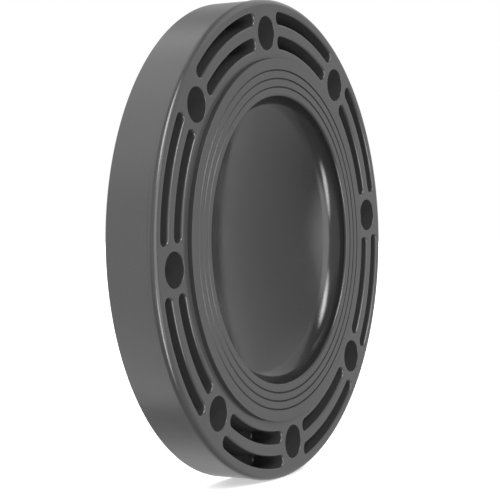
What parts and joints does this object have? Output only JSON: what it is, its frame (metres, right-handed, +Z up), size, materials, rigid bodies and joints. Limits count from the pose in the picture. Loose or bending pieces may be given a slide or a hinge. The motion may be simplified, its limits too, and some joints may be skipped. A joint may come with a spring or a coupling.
{
  "type": "blind flange",
  "caption": "Round plastic blind flange: a dished, grooved sealing disc held by a drilled backing ring that turns on it to meet the bolt holes of the pipe.",
  "frame": {"origin": "on the flange's axis, in the plane of the sealing face", "axes": "the sealing face looks along -Y and the flange lies behind it, towards +Y; +Z is up as the flange hangs on a level pipe"},
  "size_m": [0.343, 0.044, 0.343],
  "materials": {
    "ring_plastic": "moulded dark grey PVC-U, semi-gloss",
    "disc_plastic": "moulded dark grey PVC-U, semi-gloss, glossier in the dish"
  },
  "bodies": {
    "disc": {"blind_disc": "disc_plastic"},
    "ring": {"backing_ring": "ring_plastic"}
  },
  "joints": [
    {"name": "ring_turn", "type": "hinge", "parent": "disc", "child": "ring", "pos_m": [0, 0.0225, 0], "axis": [0, -1, 0], "continuous": true}
  ]
}
